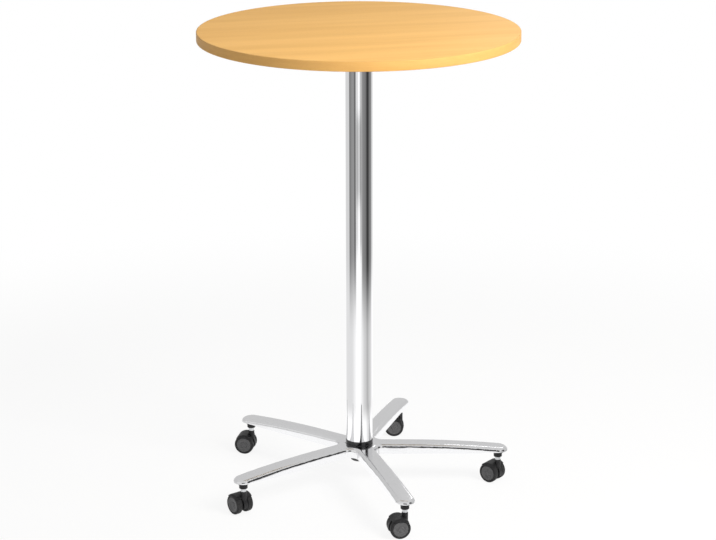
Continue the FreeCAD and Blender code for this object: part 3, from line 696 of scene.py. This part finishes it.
# ---------------------------------------------------------------- sub-assemblies
@dataclass
class TableTop:
    """The round board with its two faces and its edge band."""

    edge_rounding: float = 1.5 * MM
    edge_steps: int = 288
    edge_arc_steps: int = 6

    def edge_profile(self) -> Profile:
        """The band's section.

        Returns:
            Its corners.
        """
        low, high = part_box("edge_band")
        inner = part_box("top_laminate")[1].x
        return [(inner, low.z, 0.0), (high.x, low.z, self.edge_rounding), (high.x, high.z, self.edge_rounding),
                (inner, high.z, 0.0)]

    def build(self) -> None:
        """Makes the edge band and dresses the board."""
        edge = lathe(self.edge_profile(), self.edge_steps, self.edge_arc_steps)
        band = piece_from(edge, "beech_edge_band", SHADED_BEECH_EDGE)
        fit_piece(band, "base", "edge_band")
        dress("top_laminate", BEECH_FACE)
        dress("underside_laminate", BACKING)
        dress("tabletop_core", CHIPBOARD)


@dataclass
class UnderFrame:
    """The spider, its screws, and the tie rod with its nuts and washers."""

    edge_rounding: float = 0.9 * MM
    sharp_angle: float = 30.0

    def build(self) -> None:
        """Makes the spider's broken edges and dresses the ironwork."""
        spider = piece_from(merged_copy("top_spider"), "cast_spider", POWDER_COAT, self.sharp_angle,
                            self.edge_rounding)
        fit_piece(spider, "base", "top_spider")
        for node in ("spider_screws", "upper_washer", "upper_nut", "tie_rod", "lower_washer", "lower_nut"):
            dress(node, ZINC)


@dataclass
class Column:
    """The chromed tube and the black ring at its foot."""

    wall: float = 1.5 * MM
    rim_rounding: float = 0.3 * MM
    tube_steps: int = 160
    collar_rounding: float = 1.0 * MM
    collar_steps: int = 128

    def ring_profile(self, node: str, rounding: float) -> Profile:
        """A plain ring's section between a node's levels.

        Args:
            node: The CAD node.
            rounding: The rounding of its outer rims.

        Returns:
            Its corners.
        """
        low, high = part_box(node)
        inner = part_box("column_tube")[1].x - self.wall
        return [(inner, low.z, 0.0), (high.x, low.z, rounding), (high.x, high.z, rounding),
                (inner, high.z, 0.0)]

    def build(self) -> None:
        """Makes the tube and the ring."""
        tube = lathe(self.ring_profile("column_tube", self.rim_rounding), self.tube_steps)
        fit_piece(piece_from(tube, "chrome_column", CHROME), "base", "column_tube")
        ring = lathe(self.ring_profile("foot_collar", self.collar_rounding), self.collar_steps)
        fit_piece(piece_from(ring, "black_foot_ring", GLOSS_BLACK), "base", "foot_collar")


@dataclass
class StarBase:
    """The five-armed casting and the cap under its hub."""

    sharp_angle: float = 28.0
    cap_rounding: float = 2.0 * MM
    cap_rim: float = 3.0 * MM
    cap_dish: float = 0.6 * MM
    cap_dish_slope: float = 1.0 * MM
    cap_floor: float = 2.5 * MM
    plug_inset: float = 3.15 * MM
    plug_height: float = 5.0 * MM
    plug_wall: float = 2.5 * MM
    soft_edge: float = 0.5 * MM
    fine_edge: float = 0.3 * MM

    def cap_profile(self) -> Profile:
        """The cap's section, with a shallow dish in its face.

        Returns:
            Its corners.
        """
        low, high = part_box("hub_cap")
        radius = high.x
        rim = radius - self.cap_rim
        plug = radius - self.plug_inset
        bore = plug - self.plug_wall
        dish = low.z + self.cap_dish
        seat = high.z - self.plug_height
        floor = low.z + self.cap_floor
        return [(0.0, dish, 0.0), (rim - self.cap_dish_slope, dish, self.soft_edge),
                (rim, low.z, self.fine_edge), (radius, low.z, self.cap_rounding),
                (radius, seat, self.fine_edge), (plug, seat, 0.0), (plug, high.z, self.soft_edge),
                (bore, high.z, self.fine_edge), (bore, floor, self.soft_edge), (0.0, floor, 0.0)]

    def build(self) -> None:
        """Makes the casting's smooth skin and the cap."""
        casting = piece_from(merged_copy("base_star"), "cast_star", CASTING, self.sharp_angle)
        fit_piece(casting, "base", "base_star")
        cap = piece_from(lathe(self.cap_profile()), "hub_cover", GLOSS_BLACK)
        fit_piece(cap, "base", "hub_cap")


@dataclass
class Castor:
    """One twin-wheel castor: stem, sleeve, hood, wheels and tyres."""

    number: int
    pin_radius: float = 4.0 * MM
    pin_chamfer: float = 0.6 * MM
    neck_radius: float = 6.25 * MM
    neck_play: float = 0.3 * MM
    neck_low_edge: float = 0.5 * MM
    neck_high_edge: float = 0.2 * MM
    thread_radius: float = 5.0 * MM
    thread_fit: float = 0.05 * MM
    thread_chamfer: float = 1.0 * MM
    stem_steps: int = 64
    sleeve_radius: float = 9.5 * MM
    sleeve_low_edge: float = 1.2 * MM
    sleeve_step_edge: float = 0.4 * MM
    sleeve_rim_radius: float = 12.75 * MM
    sleeve_rim_height: float = 2.8 * MM
    sleeve_rim_low_edge: float = 0.6 * MM
    sleeve_rim_high_edge: float = 0.9 * MM
    sleeve_bore: float = 8.1 * MM
    sleeve_bore_edge: float = 0.3 * MM
    sleeve_floor: float = 5.2 * MM
    sleeve_steps: int = 80
    hood_edge: float = 0.35 * MM
    hood_sharp_angle: float = 30.0
    wheel_half_width: float = 6.5 * MM
    tyre_radius: float = 22.5 * MM
    tyre_bore: float = 17.0 * MM
    tyre_bore_edge: float = 0.3 * MM
    tyre_rounding: float = 2.6 * MM
    tyre_fit: float = 0.02 * MM
    tyre_steps: int = 112
    tyre_arc_steps: int = 6
    rim_width: float = 2.6 * MM
    rim_edge: float = 0.7 * MM
    dish_depth: float = 1.4 * MM
    dish_edge: float = 0.9 * MM
    boss_radius: float = 5.5 * MM
    boss_edge: float = 0.5 * MM
    inner_edge: float = 0.4 * MM
    pocket_floor: float = 0.5 * MM
    pocket_edge: float = 0.8 * MM
    axle_bore: float = 3.05 * MM
    face_wall: float = 3.0 * MM

    def node(self, piece: str) -> str:
        """The full name of one of the castor's pieces, nodes or bodies."""
        return "castor_%d_%s" % (self.number, piece)

    def stem_place(self) -> Matrix:
        """The upright axis of the stem, at floor level."""
        low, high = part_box(self.node("stem"))
        return Matrix.Translation(((low.x + high.x) / 2.0, (low.y + high.y) / 2.0, 0.0))

    def wheel_place(self, side: Side) -> Matrix:
        """The middle of a wheel, with Z along the axle towards its outer face.

        Args:
            side: Which wheel.

        Returns:
            The place.
        """
        middles = {}
        for wheel in Side:
            low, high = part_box(self.node(wheel.word + "_tyre"))
            middles[wheel] = (low + high) / 2.0
        outward = (middles[Side.LEFT] - middles[Side.RIGHT]) * side.value
        return Matrix.Translation(middles[side]) @ outward.to_track_quat("Z", "Y").to_matrix().to_4x4()

    def stem_profile(self) -> Profile:
        """The section of the pin, the neck and the threaded end.

        Returns:
            Its corners.
        """
        low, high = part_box(self.node("stem"))
        neck_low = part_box(self.node("hood"))[1].z + self.neck_play
        neck_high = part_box(self.node("sleeve"))[0].z
        return [(0.0, low.z, 0.0), (self.pin_radius, low.z, self.pin_chamfer), (self.pin_radius, neck_low, 0.0),
                (self.neck_radius, neck_low, self.neck_low_edge),
                (self.neck_radius, neck_high, self.neck_high_edge),
                (self.thread_radius, neck_high, 0.0), (self.thread_radius, high.z, self.thread_chamfer),
                (0.0, high.z, 0.0)]

    def sleeve_profile(self) -> Profile:
        """The section of the stepped cup under the arm.

        Returns:
            Its corners.
        """
        low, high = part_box(self.node("sleeve"))
        bore = self.thread_radius + self.thread_fit
        step = high.z - self.sleeve_rim_height
        floor = low.z + self.sleeve_floor
        return [(bore, low.z, 0.0), (self.sleeve_radius, low.z, self.sleeve_low_edge),
                (self.sleeve_radius, step, self.sleeve_step_edge),
                (self.sleeve_rim_radius, step, self.sleeve_rim_low_edge),
                (self.sleeve_rim_radius, high.z, self.sleeve_rim_high_edge),
                (self.sleeve_bore, high.z, self.sleeve_bore_edge), (self.sleeve_bore, floor, 0.0),
                (bore, floor, 0.0)]

    def wheel_profile(self) -> Profile:
        """The wheel's section: a dished outer face and a pocketed inner one.

        Returns:
            Its corners.
        """
        outer = self.wheel_half_width
        rim = self.tyre_bore - self.tyre_fit
        dish = rim - self.rim_width
        face_back = outer - self.face_wall
        return [(self.axle_bore, -outer, 0.0), (self.boss_radius, -outer, self.inner_edge),
                (self.boss_radius, self.pocket_floor, self.pocket_edge),
                (dish, self.pocket_floor, self.pocket_edge), (dish, -outer, self.inner_edge),
                (rim, -outer, self.inner_edge), (rim, outer, self.rim_edge), (dish, outer, self.rim_edge),
                (self.boss_radius + self.dish_depth, outer - self.dish_depth, self.dish_edge),
                (self.boss_radius, outer, self.boss_edge), (0.0, outer, 0.0), (0.0, face_back, 0.0),
                (self.axle_bore, face_back, 0.0)]

    def tyre_profile(self) -> Profile:
        """The tyre's section, with round shoulders.

        Returns:
            Its corners.
        """
        half = self.wheel_half_width
        return [(self.tyre_bore, -half, self.tyre_bore_edge), (self.tyre_radius, -half, self.tyre_rounding),
                (self.tyre_radius, half, self.tyre_rounding), (self.tyre_bore, half, self.tyre_bore_edge)]

    def build_wheel(self, side: Side) -> None:
        """Makes one wheel and its tyre.

        Args:
            side: Which wheel.
        """
        place = self.wheel_place(side)
        wheel = self.node(side.word)
        body = wheel + "_roller"
        disc = placed(lathe(self.wheel_profile()), place)
        fit_piece(piece_from(disc, wheel + "_disc", WHEEL_NYLON), body, wheel + "_wheel")
        tyre = placed(lathe(self.tyre_profile(), self.tyre_steps, self.tyre_arc_steps), place)
        fit_piece(piece_from(tyre, wheel + "_tread", TREAD), body, wheel + "_tyre")

    def build(self) -> None:
        """Makes the castor from the arm down."""
        upright = self.stem_place()
        stem = placed(lathe(self.stem_profile(), self.stem_steps), upright)
        fit_piece(piece_from(stem, self.node("pin"), ZINC), "base", self.node("stem"))
        sleeve = placed(lathe(self.sleeve_profile(), self.sleeve_steps), upright)
        fit_piece(piece_from(sleeve, self.node("cup"), NYLON), "base", self.node("sleeve"))
        hood = piece_from(merged_copy(self.node("hood")), self.node("cover"), NYLON, self.hood_sharp_angle,
                          self.hood_edge)
        fit_piece(hood, self.node("swivel"), self.node("hood"))
        dress(self.node("axle"), ZINC)
        for side in Side:
            self.build_wheel(side)


# ---------------------------------------------------------------- studio
@dataclass(frozen=True)
class PaintedReflectionCard:
    """A painted reflection: a dark patch in the floor's glow that only glossy rays see, where no card stands.

    Angles are in degrees about the column: 0 is the camera's side and 90 its right. The card fades in
    from the distance begins and, unless ends is 0, out again from the distance ends, each over the
    length blend.
    """

    centre: float
    half_width: float
    softness: float
    depth: float
    begins: float = 0.0
    blend: float = 0.3
    ends: float = 0.0


@dataclass(frozen=True)
class Softbox:
    """A soft rectangular lamp."""

    name: str
    place: Triple
    target: Triple
    width: float
    height: float
    power: float
    colour: Colour = WHITE
    sheen_only: bool = False

    def build(self) -> None:
        """Hangs the lamp, aimed at its target."""
        lamp = bpy.data.lights.new(self.name, "AREA")
        lamp.shape = "RECTANGLE"
        lamp.size = self.width
        lamp.size_y = self.height
        lamp.energy = self.power
        lamp.color = self.colour
        holder = bpy.data.objects.new(self.name, lamp)
        holder.location = self.place
        aim = Vector(self.target) - Vector(self.place)
        holder.rotation_euler = aim.to_track_quat("-Z", "Y").to_euler()
        holder.visible_glossy = self.sheen_only
        holder.visible_diffuse = not self.sheen_only
        holder.visible_camera = False
        bpy.context.scene.collection.objects.link(holder)


@dataclass
class Studio:
    """Floor, painted reflections of the surroundings, lamps and camera.

    Lengths are in metres and angles in degrees. Edges are the start and end of a smooth change: over the
    distance from the column for the glow, and over a direction's height or its part towards the camera
    for the others.
    """

    floor_radius: float = 14.0
    floor_segments: int = 96
    floor_albedo: float = 0.88
    floor_glow: float = 0.88
    glow_edges: Span = (1.1, 2.2)
    # Strength of the floor's painted reflection: the glow, brighter than white, that glossy rays see.
    painted_reflection_white: float = 1.14
    fill_level: float = 0.47
    # Tones that the world shows only to glossy rays: a painted reflection of a wall, a ceiling and horizon
    # cards.
    painted_back_wall: float = 0.66
    back_edges: Span = (0.5, 0.95)
    painted_front_wall: float = 0.85
    front_edges: Span = (0.4, 0.95)
    painted_ceiling: float = 0.72
    front_turn: Span = (0.0, 0.25)
    band_edges: Span = (0.54, 0.70)
    painted_horizon_cards: tuple[PaintedReflectionCard, ...] = (PaintedReflectionCard(2.0, 18.0, 6.0, 0.98), PaintedReflectionCard(70.0, 18.0, 8.0, 0.98))
    # Dark patches painted into the floor's glow for glossy rays: painted reflection, not standing cards.
    painted_floor_cards: tuple[PaintedReflectionCard, ...] = (
        PaintedReflectionCard(-122.0, 28.0, 6.0, 0.12, 1.3, 0.6),
        PaintedReflectionCard(-57.5, 33.0, 4.0, 0.64, 1.0, 0.95),
        PaintedReflectionCard(-78.0, 6.0, 5.0, 0.25, 1.2, 0.7),
        PaintedReflectionCard(-34.5, 7.0, 4.0, 0.56, 1.2, 0.9),
        PaintedReflectionCard(-15.0, 9.0, 3.0, 0.3, 1.7, 0.4),
        PaintedReflectionCard(16.5, 8.5, 3.0, 0.45, 1.7, 0.4),
        PaintedReflectionCard(-1.0, 22.0, 6.0, 0.4, 2.3, 0.4, 3.6),
        PaintedReflectionCard(74.0, 49.5, 5.0, 0.67, 1.0, 0.85),
        PaintedReflectionCard(78.5, 14.0, 12.0, 0.74, 1.1, 0.8),
        PaintedReflectionCard(75.0, 10.0, 9.0, 0.26),
        PaintedReflectionCard(148.0, 30.0, 6.0, 0.34, 1.3, 0.6),
        PaintedReflectionCard(-97.0, 58.0, 30.0, 0.3, 0.4, 0.15),
        PaintedReflectionCard(77.0, 50.0, 30.0, 0.42, 0.4, 0.15),
    )
    lamps: tuple[Softbox, ...] = (
        Softbox("key_softbox", (1.8, -1.45, 2.2), (0.15, -0.1, 1.0), 1.1, 1.1, 77.0, (1.0, 0.97, 0.93)),
        Softbox("rim_softbox", (0.3, -0.95, 1.9), (0.1, -0.3, 1.05), 0.6, 0.4, 2.2, (1.0, 0.98, 0.96)),
        Softbox("rim_panel", (0.75, 2.5, 1.78), (0.25, -0.2, 1.05), 0.7, 0.4, 2.6, sheen_only=True),
        Softbox("front_fill", (0.3, -3.6, 2.0), (0.0, 0.0, 0.5), 1.8, 1.8, 9.0),
    )
    camera_distance: float = 4.614
    camera_height: float = 1.920
    camera_pitch: float = 17.02
    camera_roll: float = 0.1
    camera_reach: float = 60.0
    sensor_width: float = 36.0
    focal_pixels: float = 2165.7
    image_width: float = 716.0
    axis_pixel: float = 359.1

    def azimuth(self, graph: Graph, direction: bpy.types.Node) -> bpy.types.NodeSocket:
        """The compass angle of a direction or place.

        Args:
            graph: The graph to fill.
            direction: A node that has split it into X, Y and Z.

        Returns:
            The angle's socket in degrees: 0 towards the camera's side, 90 to its right.
        """
        return graph.calc("DEGREES", graph.compass(direction))

    def cover(self, graph: Graph, card: PaintedReflectionCard, azimuth: bpy.types.NodeSocket) -> bpy.types.NodeSocket:
        """How much a card darkens a direction.

        Args:
            graph: The graph to fill.
            card: The card.
            azimuth: The direction's angle in degrees.

        Returns:
            The cover's socket, up to the card's depth.
        """
        aside = graph.calc("ABSOLUTE", graph.calc("SUBTRACT", azimuth, card.centre))
        return graph.smooth(aside, card.half_width - card.softness, card.half_width + card.softness,
                            card.depth, 0.0)

    def painted_reflection_tone(self, graph: Graph, azimuth: bpy.types.NodeSocket,
                  away: bpy.types.NodeSocket) -> bpy.types.NodeSocket:
        """The painted reflection on the floor: the tone that glossy rays see there.

        Args:
            graph: The graph to fill.
            azimuth: Direction in degrees: 0 towards the camera's side, 90 to its right.
            away: Distance from the column, in metres.

        Returns:
            The tone's socket, 1 where no card is painted.
        """
        tone = 1.0
        for card in self.painted_floor_cards:
            cover = self.cover(graph, card, azimuth)
            if card.begins > 0.0:
                cover = graph.calc("MULTIPLY", cover, graph.smooth(away, card.begins, card.begins + card.blend))
            if card.ends > 0.0:
                fading = graph.smooth(away, card.ends, card.ends + card.blend, 1.0, 0.0)
                cover = graph.calc("MULTIPLY", cover, fading)
            tone = graph.calc("MULTIPLY", tone, graph.calc("SUBTRACT", 1.0, cover))
        return tone

    def floor_material(self) -> bpy.types.Material:
        """A pale floor that keeps the object's shadow. To glossy rays it glows with a painted reflection,
        darker where the cards are painted.

        The camera sees through it from below.

        Returns:
            The material.
        """
        made = bpy.data.materials.new("studio_floor")
        made.use_nodes = True
        graph = Graph(made.node_tree)
        coordinates = graph.object_coordinates()
        length = graph.add("VectorMath", operation="LENGTH")
        graph.feed(length.inputs[0], coordinates)
        away = length.outputs["Value"]
        rays = graph.add("LightPath")
        paper = graph.add("BsdfDiffuse", Color=(self.floor_albedo,) * 3)
        glow = graph.add("Emission", Color=WHITE, Strength=1.0)
        seen = graph.mix_shaders(graph.smooth(away, *self.glow_edges, self.floor_glow, 1.0), paper, glow)
        tone = self.painted_reflection_tone(graph, self.azimuth(graph, graph.split(coordinates)), away)
        # Painted reflection: glossy rays see the floor glowing, darkened where the cards are painted, and not
        # the lit paper with its shadow.
        painted_reflection_level = graph.calc("MULTIPLY", tone, self.painted_reflection_white)
        painted_reflection_glow = graph.add("Emission", Color=WHITE, Strength=painted_reflection_level)
        for_camera = graph.mix_shaders(rays.outputs["Is Camera Ray"], paper, seen)
        for_metal = graph.mix_shaders(rays.outputs["Is Glossy Ray"], for_camera, painted_reflection_glow)
        below = graph.add("NewGeometry").outputs["Backfacing"]
        seen_through = graph.calc("MULTIPLY", below, rays.outputs["Is Camera Ray"])
        graph.surface(graph.mix_shaders(seen_through, for_metal, graph.add("BsdfTransparent")))
        return made

    def build_floor(self) -> None:
        """Lays the floor disc."""
        work = bmesh.new()
        bmesh.ops.create_circle(work, cap_ends=True, segments=self.floor_segments, radius=self.floor_radius)
        mesh = bpy.data.meshes.new("studio_floor")
        work.to_mesh(mesh)
        work.free()
        floor = bpy.data.objects.new("studio_floor", mesh)
        mesh.materials.append(self.floor_material())
        bpy.context.scene.collection.objects.link(floor)

    def painted_room_reflection(self, graph: Graph) -> bpy.types.NodeSocket:
        """The painted reflection that glossy surfaces see above the floor.

        The world shows this tone only to glossy rays: a painted grey wall behind the object and a lighter
        painted ceiling over it. The front is pale, with dark painted cards along its horizon.

        Args:
            graph: The graph to fill.

        Returns:
            The tone's socket.
        """
        direction = graph.split(graph.add("TexCoord").outputs["Generated"])
        height = direction.outputs["Z"]
        behind = graph.smooth(height, *self.back_edges, self.painted_back_wall, self.painted_ceiling)
        ahead = graph.smooth(height, *self.front_edges, self.painted_front_wall, self.painted_ceiling)
        low = graph.smooth(height, *self.band_edges, 1.0, 0.0)
        azimuth = self.azimuth(graph, direction)
        for card in self.painted_horizon_cards:
            hidden = graph.calc("MULTIPLY", low, self.cover(graph, card, azimuth))
            ahead = graph.calc("MULTIPLY", ahead, graph.calc("SUBTRACT", 1.0, hidden))
        toward_camera = graph.calc("MULTIPLY", direction.outputs["Y"], -1.0)
        share = graph.smooth(toward_camera, *self.front_turn)
        rest = graph.calc("SUBTRACT", 1.0, share)
        return graph.calc("ADD", graph.calc("MULTIPLY", ahead, share), graph.calc("MULTIPLY", behind, rest))

    def build_world(self) -> None:
        """Lights the room evenly. The camera sees white, and glossy rays see a painted reflection of a room."""
        world = bpy.data.worlds.new("studio_room")
        world.use_nodes = True
        bpy.context.scene.world = world
        graph = Graph(world.node_tree)
        rays = graph.add("LightPath")
        clear = graph.calc("MAXIMUM", rays.outputs["Is Camera Ray"], rays.outputs["Is Transmission Ray"])
        plain = graph.calc("MAXIMUM", clear, self.fill_level)
        diffuse_part = graph.calc("MULTIPLY", plain, graph.calc("SUBTRACT", 1.0, rays.outputs["Is Glossy Ray"]))
        # Painted reflection: glossy rays see the painted room tone in place of the plain fill.
        glossy_part = graph.calc("MULTIPLY", self.painted_room_reflection(graph), rays.outputs["Is Glossy Ray"])
        background = graph.add("Background", Color=WHITE)
        graph.feed(background.inputs["Strength"], graph.calc("ADD", diffuse_part, glossy_part))
        graph.surface(background, "OutputWorld")

    def build_camera(self) -> None:
        """Sets up the camera, which looks along +Y and down at the table."""
        lens = bpy.data.cameras.new("studio_camera")
        lens.sensor_width = self.sensor_width
        lens.lens = self.focal_pixels / self.image_width * lens.sensor_width
        lens.shift_x = (self.image_width / 2.0 - self.axis_pixel) / self.image_width
        lens.clip_end = self.camera_reach
        camera = bpy.data.objects.new("studio_camera", lens)
        camera.location = (0.0, -self.camera_distance, self.camera_height)
        level = Matrix.Rotation(math.radians(90.0 - self.camera_pitch), 4, "X")
        rolled = level @ Matrix.Rotation(math.radians(-self.camera_roll), 4, "Z")
        camera.rotation_euler = rolled.to_euler()
        bpy.context.scene.collection.objects.link(camera)
        bpy.context.scene.camera = camera

    def build(self) -> None:
        """Builds the whole studio."""
        bpy.context.scene.view_settings.view_transform = "Standard"
        self.build_floor()
        self.build_world()
        for lamp in self.lamps:
            lamp.build()
        self.build_camera()
        LOG.info("studio ready with %d lamps", len(self.lamps))


def main() -> None:
    """Builds the studio and every sub-assembly in order."""
    logging.basicConfig(level=logging.INFO, format="%(message)s")
    Studio().build()
    TableTop().build()
    UnderFrame().build()
    Column().build()
    StarBase().build()
    for number in range(1, ARM_COUNT + 1):
        Castor(number).build()


if __name__ == "__main__":
    main()
